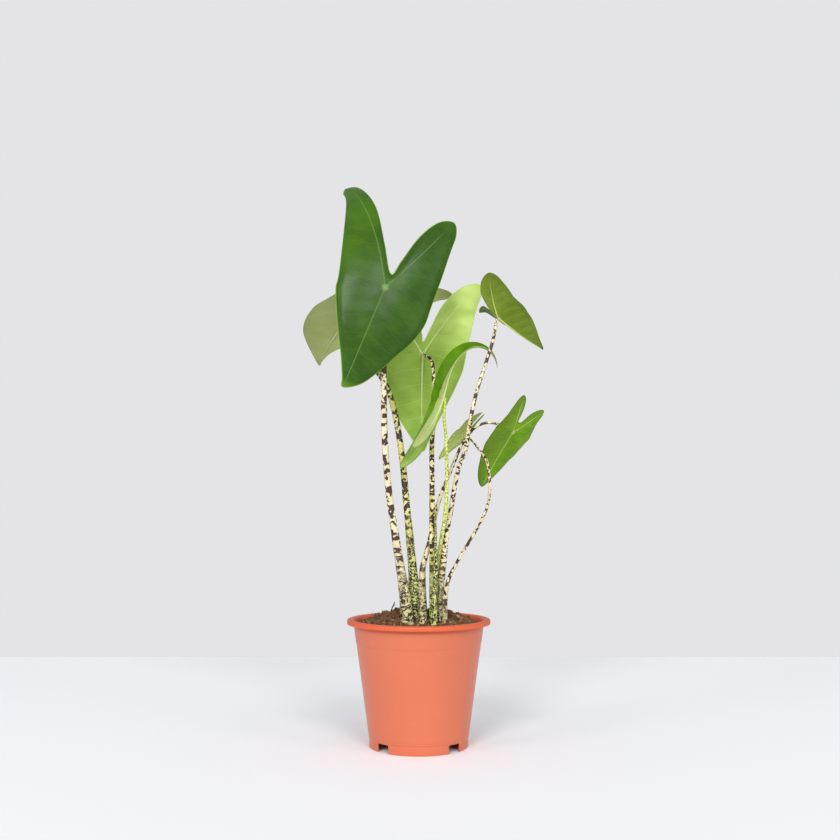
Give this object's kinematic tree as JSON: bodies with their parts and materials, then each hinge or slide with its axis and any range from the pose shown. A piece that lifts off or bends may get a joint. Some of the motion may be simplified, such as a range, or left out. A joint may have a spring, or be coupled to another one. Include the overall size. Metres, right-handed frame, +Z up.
{
  "type": "potted alocasia",
  "caption": "Tall potted zebra-stemmed alocasia: arrowhead leaves on banded stems, growing from soil in a tapered, rimmed nursery pot with a notched foot.",
  "frame": {"origin": "on the floor under the middle of the whole plant's footprint", "axes": "+Z up; -Y is the front, where the broad dark leaf faces; +X is to the right seen from the front"},
  "size_m": [0.302, 0.2478, 0.6792],
  "materials": {
    "pot_plastic": "satin moulded terracotta orange",
    "potting_soil": "moist peat and fibre",
    "rhizome": "fibrous brown skin",
    "stem_cream": "cream with dark brown bands",
    "stem_olive": "olive yellow with blackish bands",
    "stem_green": "yellow green with few marks",
    "sheath": "speckled olive",
    "bark": "weathered tan",
    "twig": "dark and dry",
    "leaf_broad_front": "dark glossy upper side",
    "leaf_sage_back": "sage underside",
    "leaf_light_middle": "light green underside",
    "leaf_young_folded": "young bright green",
    "leaf_olive_right": "olive underside",
    "leaf_small_right": "mid green upper side",
    "leaf_narrow_low": "sage underside"
  },
  "bodies": {
    "root": {"nursery_pot": "pot_plastic", "soil": "potting_soil", "rhizome_left": "rhizome", "rhizome_right": "rhizome", "petiole_broad_front": "stem_cream", "petiole_sage_back": "stem_olive", "petiole_light_middle": "stem_olive", "petiole_young_folded": "stem_green", "petiole_olive_right": "stem_cream", "petiole_small_right": "stem_cream", "petiole_narrow_low": "stem_cream", "old_sheath": "sheath", "blade_broad_front": "leaf_broad_front", "blade_sage_back": "leaf_sage_back", "blade_light_middle": "leaf_light_middle", "blade_young_folded": "leaf_young_folded", "blade_olive_right": "leaf_olive_right", "blade_small_right": "leaf_small_right", "blade_narrow_low": "leaf_narrow_low", "bark_chip_large": "bark", "bark_chip_small": "bark", "twig_long": "twig", "twig_short": "twig"}
  },
  "joints": []
}
